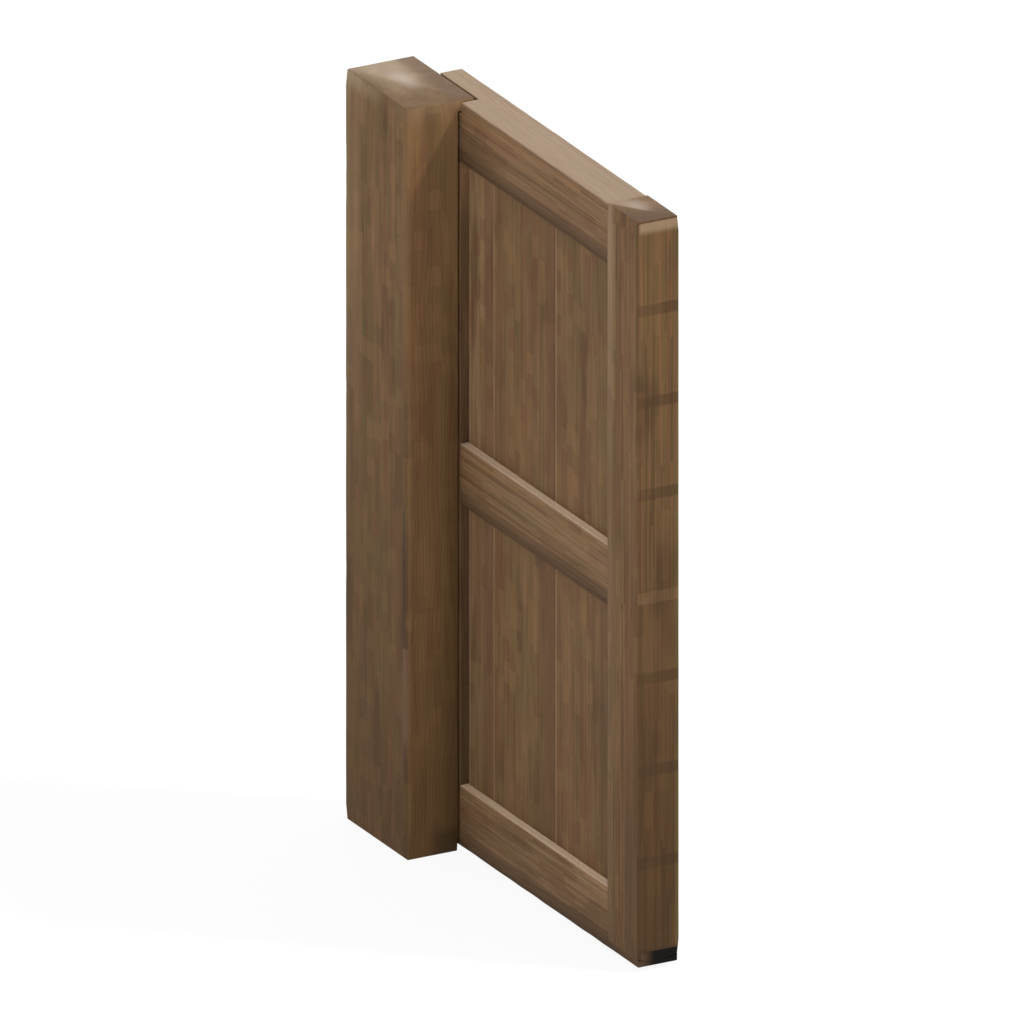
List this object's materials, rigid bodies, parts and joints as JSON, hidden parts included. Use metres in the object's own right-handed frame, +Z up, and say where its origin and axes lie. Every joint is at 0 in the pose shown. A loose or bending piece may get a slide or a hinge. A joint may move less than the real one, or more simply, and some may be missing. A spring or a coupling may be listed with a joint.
{
  "type": "wooden gate",
  "caption": "Wooden gate: a thick rebated post and a framed, boarded leaf with top, middle and bottom rails, hung behind the post on iron hooks and bands.",
  "frame": {"origin": "centre of the flat face at the post's foot, at ground level", "axes": "+Z up, +X along the shut gate from the post to the free end, +Y from the gate's front to its back, the side that the leaf opens to"},
  "size_m": [1.134, 0.2696, 1.8],
  "materials": {
    "post_timber": "weathered brown softwood, dull",
    "frame_timber": "weathered brown softwood, dull",
    "board_timber": "weathered brown softwood, dull",
    "peg_timber": "end grain, dull",
    "hinge_iron": "black paint, semi-matt"
  },
  "bodies": {
    "post": {"post": "post_timber", "upper_hinge_hook": "hinge_iron", "lower_hinge_hook": "hinge_iron"},
    "leaf": {"hanging_stile": "frame_timber", "closing_stile": "frame_timber", "top_rail": "frame_timber", "middle_rail": "frame_timber", "bottom_rail": "frame_timber", "upper_board_1": "board_timber", "upper_board_2": "board_timber", "upper_board_3": "board_timber", "lower_board_1": "board_timber", "lower_board_2": "board_timber", "lower_board_3": "board_timber", "top_rail_pegs": "peg_timber", "middle_rail_pegs": "peg_timber", "bottom_rail_pegs": "peg_timber", "upper_hinge_band": "hinge_iron", "lower_hinge_band": "hinge_iron"}
  },
  "joints": [
    {"name": "leaf_swing", "type": "hinge", "parent": "post", "child": "leaf", "pos_m": [-0.053, 0.1653, 0.112], "axis": [0, 0, 1], "range_deg": [0, 170]}
  ]
}
